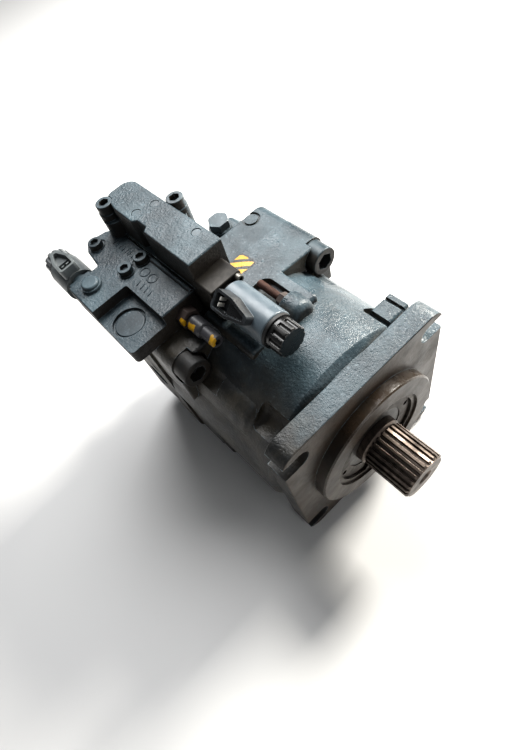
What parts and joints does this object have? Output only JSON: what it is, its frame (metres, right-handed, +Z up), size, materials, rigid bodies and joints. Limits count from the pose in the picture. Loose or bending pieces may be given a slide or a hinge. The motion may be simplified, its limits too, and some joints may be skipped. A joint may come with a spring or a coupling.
{
  "type": "axial piston pump",
  "caption": "Variable-displacement swashplate pump with square mounting flange, splined drive shaft, side ports and a solenoid-operated control block on top.",
  "frame": {"origin": "centre of the mounting flange face, on the drive shaft axis", "axes": "+X out along the drive shaft, +Z up towards the control block, +Y towards the suction port"},
  "size_m": [0.4168, 0.2275, 0.267],
  "materials": {
    "painted_casting": "gloss blue-grey enamel over cast iron",
    "port_plate_paint": "gloss blue-grey enamel over cast iron",
    "control_paint": "gloss blue-grey enamel",
    "painted_hardware": "painted steel",
    "plugs": "painted and plated steel",
    "solenoid_screw_steel": "dull oiled steel",
    "shaft_steel": "machined, oiled steel",
    "coil_plastic": "grey moulded plastic",
    "black_plastic": "black moulded plastic",
    "seal_rubber": "black rubber",
    "seal_carrier_iron": "machined cast iron",
    "rotating_steel": "ground steel",
    "bearing_steel": "hardened, polished steel",
    "bronze": "bearing bronze"
  },
  "bodies": {
    "case": {"adjuster_locknuts": "painted_hardware", "closing_plugs": "plugs", "coil_cap_nuts": "black_plastic", "coil_seal_rings": "seal_rubber", "control_screws": "painted_hardware", "counter_spring": "bearing_steel", "cover_screws": "painted_hardware", "cradle_bearings": "bronze", "front_bearing_outer_race": "bearing_steel", "housing": "painted_casting", "housing_screws": "painted_hardware", "lower_control_block": "control_paint", "port_plate": "port_plate_paint", "rear_bearing_cup": "bearing_steel", "seal_carrier": "seal_carrier_iron", "seal_retaining_ring": "solenoid_screw_steel", "shaft_seal": "seal_rubber", "solenoid_1_coil": "coil_plastic", "solenoid_1_tube": "painted_hardware", "solenoid_2_coil": "coil_plastic", "solenoid_2_tube": "painted_hardware", "solenoid_screws": "solenoid_screw_steel", "spool_springs": "bearing_steel", "swash_cradle": "rotating_steel", "through_drive_cover": "control_paint", "upper_control_block": "control_paint", "valve_plate": "bronze"},
    "rotor": {"drive_shaft": "shaft_steel", "cylinder_block": "rotating_steel", "ball_guide": "rotating_steel", "barrel_spring": "bearing_steel", "front_bearing_inner_race": "bearing_steel"},
    "front_rollers": {"front_bearing_rollers": "bearing_steel"},
    "rear_needles": {"rear_bearing_needles": "bearing_steel"},
    "swashplate": {"swashplate": "rotating_steel"},
    "slipper_ring": {"retainer_plate": "rotating_steel"},
    "stroking_piston": {"stroking_piston": "rotating_steel"},
    "counter_piston": {"counter_piston": "rotating_steel"},
    "spool_1": {"spool_1": "rotating_steel"},
    "spool_2": {"spool_2": "rotating_steel"},
    "stop_screw": {"stop_screw": "solenoid_screw_steel"},
    "adjuster_screw": {"adjuster_screw": "painted_hardware"},
    "slipper_1": {"slipper_1": "bronze"},
    "piston_1": {"piston_1": "rotating_steel"},
    "slipper_2": {"slipper_2": "bronze"},
    "piston_2": {"piston_2": "rotating_steel"},
    "slipper_3": {"slipper_3": "bronze"},
    "piston_3": {"piston_3": "rotating_steel"},
    "slipper_4": {"slipper_4": "bronze"},
    "piston_4": {"piston_4": "rotating_steel"},
    "slipper_5": {"slipper_5": "bronze"},
    "piston_5": {"piston_5": "rotating_steel"},
    "slipper_6": {"slipper_6": "bronze"},
    "piston_6": {"piston_6": "rotating_steel"},
    "slipper_7": {"slipper_7": "bronze"},
    "piston_7": {"piston_7": "rotating_steel"},
    "slipper_8": {"slipper_8": "bronze"},
    "piston_8": {"piston_8": "rotating_steel"},
    "slipper_9": {"slipper_9": "bronze"},
    "piston_9": {"piston_9": "rotating_steel"}
  },
  "joints": [
    {"name": "shaft_spin", "type": "hinge", "parent": "case", "child": "rotor", "pos_m": [0, 0, 0], "axis": [1, 0, 0], "continuous": true},
    {"name": "front_rollers_orbit", "type": "hinge", "parent": "case", "child": "front_rollers", "pos_m": [0, 0, 0], "axis": [1, 0, 0], "continuous": true},
    {"name": "rear_needles_orbit", "type": "hinge", "parent": "case", "child": "rear_needles", "pos_m": [0, 0, 0], "axis": [1, 0, 0], "continuous": true},
    {"name": "swash_tilt", "type": "hinge", "parent": "case", "child": "swashplate", "pos_m": [-0.09, 0, 0], "axis": [0, 0.6157, 0.788], "range_deg": [0, 18], "stiffness_Nm_per_rad": 60, "springref_deg": -8.59},
    {"name": "slipper_ring_spin", "type": "hinge", "parent": "swashplate", "child": "slipper_ring", "pos_m": [-0.09, 0, 0], "axis": [1, 0, 0], "continuous": true},
    {"name": "slipper_1_spin", "type": "hinge", "parent": "slipper_ring", "child": "slipper_1", "pos_m": [-0.09, -0.03675, 0.02871], "axis": [1, 0, 0], "continuous": true},
    {"name": "piston_1_ball", "type": "hinge", "parent": "slipper_1", "child": "piston_1", "pos_m": [-0.09, -0.03675, 0.02871], "axis": [0, 0.6157, 0.788], "range_deg": [-18.5, 0.5]},
    {"name": "slipper_2_spin", "type": "hinge", "parent": "slipper_ring", "child": "slipper_2", "pos_m": [-0.09, -0.04661, -0.00163], "axis": [1, 0, 0], "continuous": true},
    {"name": "piston_2_ball", "type": "hinge", "parent": "slipper_2", "child": "piston_2", "pos_m": [-0.09, -0.04661, -0.00163], "axis": [0, 0.6157, 0.788], "range_deg": [-18.5, 0.5]},
    {"name": "slipper_3_spin", "type": "hinge", "parent": "slipper_ring", "child": "slipper_3", "pos_m": [-0.09, -0.03466, -0.03121], "axis": [1, 0, 0], "continuous": true},
    {"name": "piston_3_ball", "type": "hinge", "parent": "slipper_3", "child": "piston_3", "pos_m": [-0.09, -0.03466, -0.03121], "axis": [0, 0.6157, 0.788], "range_deg": [-18.5, 0.5]},
    {"name": "slipper_4_spin", "type": "hinge", "parent": "slipper_ring", "child": "slipper_4", "pos_m": [-0.09, -0.00649, -0.04619], "axis": [1, 0, 0], "continuous": true},
    {"name": "piston_4_ball", "type": "hinge", "parent": "slipper_4", "child": "piston_4", "pos_m": [-0.09, -0.00649, -0.04619], "axis": [0, 0.6157, 0.788], "range_deg": [-18.5, 0.5]},
    {"name": "slipper_5_spin", "type": "hinge", "parent": "slipper_ring", "child": "slipper_5", "pos_m": [-0.09, 0.02472, -0.03955], "axis": [1, 0, 0], "continuous": true},
    {"name": "piston_5_ball", "type": "hinge", "parent": "slipper_5", "child": "piston_5", "pos_m": [-0.09, 0.02472, -0.03955], "axis": [0, 0.6157, 0.788], "range_deg": [-18.5, 0.5]},
    {"name": "slipper_6_spin", "type": "hinge", "parent": "slipper_ring", "child": "slipper_6", "pos_m": [-0.09, 0.04436, -0.01441], "axis": [1, 0, 0], "continuous": true},
    {"name": "piston_6_ball", "type": "hinge", "parent": "slipper_6", "child": "piston_6", "pos_m": [-0.09, 0.04436, -0.01441], "axis": [0, 0.6157, 0.788], "range_deg": [-18.5, 0.5]},
    {"name": "slipper_7_spin", "type": "hinge", "parent": "slipper_ring", "child": "slipper_7", "pos_m": [-0.09, 0.04324, 0.01747], "axis": [1, 0, 0], "continuous": true},
    {"name": "piston_7_ball", "type": "hinge", "parent": "slipper_7", "child": "piston_7", "pos_m": [-0.09, 0.04324, 0.01747], "axis": [0, 0.6157, 0.788], "range_deg": [-18.5, 0.5]},
    {"name": "slipper_8_spin", "type": "hinge", "parent": "slipper_ring", "child": "slipper_8", "pos_m": [-0.09, 0.0219, 0.04118], "axis": [1, 0, 0], "continuous": true},
    {"name": "piston_8_ball", "type": "hinge", "parent": "slipper_8", "child": "piston_8", "pos_m": [-0.09, 0.0219, 0.04118], "axis": [0, 0.6157, 0.788], "range_deg": [-18.5, 0.5]},
    {"name": "slipper_9_spin", "type": "hinge", "parent": "slipper_ring", "child": "slipper_9", "pos_m": [-0.09, -0.0097, 0.04562], "axis": [1, 0, 0], "continuous": true},
    {"name": "piston_9_ball", "type": "hinge", "parent": "slipper_9", "child": "piston_9", "pos_m": [-0.09, -0.0097, 0.04562], "axis": [0, 0.6157, 0.788], "range_deg": [-18.5, 0.5]},
    {"name": "stroking_piston_slide", "type": "slide", "parent": "case", "child": "stroking_piston", "axis": [1, 0, 0], "range_m": [-0.0002, 0.0262]},
    {"name": "counter_piston_slide", "type": "slide", "parent": "case", "child": "counter_piston", "axis": [1, 0, 0], "range_m": [-0.0262, 0.0002], "deforming": ["counter_spring"]},
    {"name": "spool_1_slide", "type": "slide", "parent": "case", "child": "spool_1", "axis": [-1, 0, 0], "range_m": [0, 0.003], "stiffness_N_per_m": 8000, "springref_m": -0.001, "deforming": ["spool_springs"]},
    {"name": "spool_2_slide", "type": "slide", "parent": "case", "child": "spool_2", "axis": [1, 0, 0], "range_m": [0, 0.003], "stiffness_N_per_m": 8000, "springref_m": -0.001},
    {"name": "stop_screw_travel", "type": "slide", "parent": "case", "child": "stop_screw", "axis": [1, 0, 0], "range_m": [-0.004, 0.002]},
    {"name": "adjuster_screw_travel", "type": "slide", "parent": "case", "child": "adjuster_screw", "axis": [1, 0, 0], "range_m": [-0.003, 0.004]}
  ],
  "couplings": [
    {"joint": "front_rollers_orbit", "follows": "shaft_spin", "ratio": 0.43},
    {"joint": "rear_needles_orbit", "follows": "shaft_spin", "ratio": 0.4565},
    {"joint": "slipper_ring_spin", "follows": "shaft_spin", "ratio": 1},
    {"joint": "slipper_1_spin", "follows": "shaft_spin", "ratio": -1},
    {"joint": "piston_1_ball", "follows": "swash_tilt", "ratio": -1},
    {"joint": "slipper_2_spin", "follows": "shaft_spin", "ratio": -1},
    {"joint": "piston_2_ball", "follows": "swash_tilt", "ratio": -1},
    {"joint": "slipper_3_spin", "follows": "shaft_spin", "ratio": -1},
    {"joint": "piston_3_ball", "follows": "swash_tilt", "ratio": -1},
    {"joint": "slipper_4_spin", "follows": "shaft_spin", "ratio": -1},
    {"joint": "piston_4_ball", "follows": "swash_tilt", "ratio": -1},
    {"joint": "slipper_5_spin", "follows": "shaft_spin", "ratio": -1},
    {"joint": "piston_5_ball", "follows": "swash_tilt", "ratio": -1},
    {"joint": "slipper_6_spin", "follows": "shaft_spin", "ratio": -1},
    {"joint": "piston_6_ball", "follows": "swash_tilt", "ratio": -1},
    {"joint": "slipper_7_spin", "follows": "shaft_spin", "ratio": -1},
    {"joint": "piston_7_ball", "follows": "swash_tilt", "ratio": -1},
    {"joint": "slipper_8_spin", "follows": "shaft_spin", "ratio": -1},
    {"joint": "piston_8_ball", "follows": "swash_tilt", "ratio": -1},
    {"joint": "slipper_9_spin", "follows": "shaft_spin", "ratio": -1},
    {"joint": "piston_9_ball", "follows": "swash_tilt", "ratio": -1},
    {"joint": "stroking_piston_slide", "follows": "swash_tilt", "m_per_rad": 0.08274},
    {"joint": "counter_piston_slide", "follows": "swash_tilt", "m_per_rad": -0.08274}
  ]
}
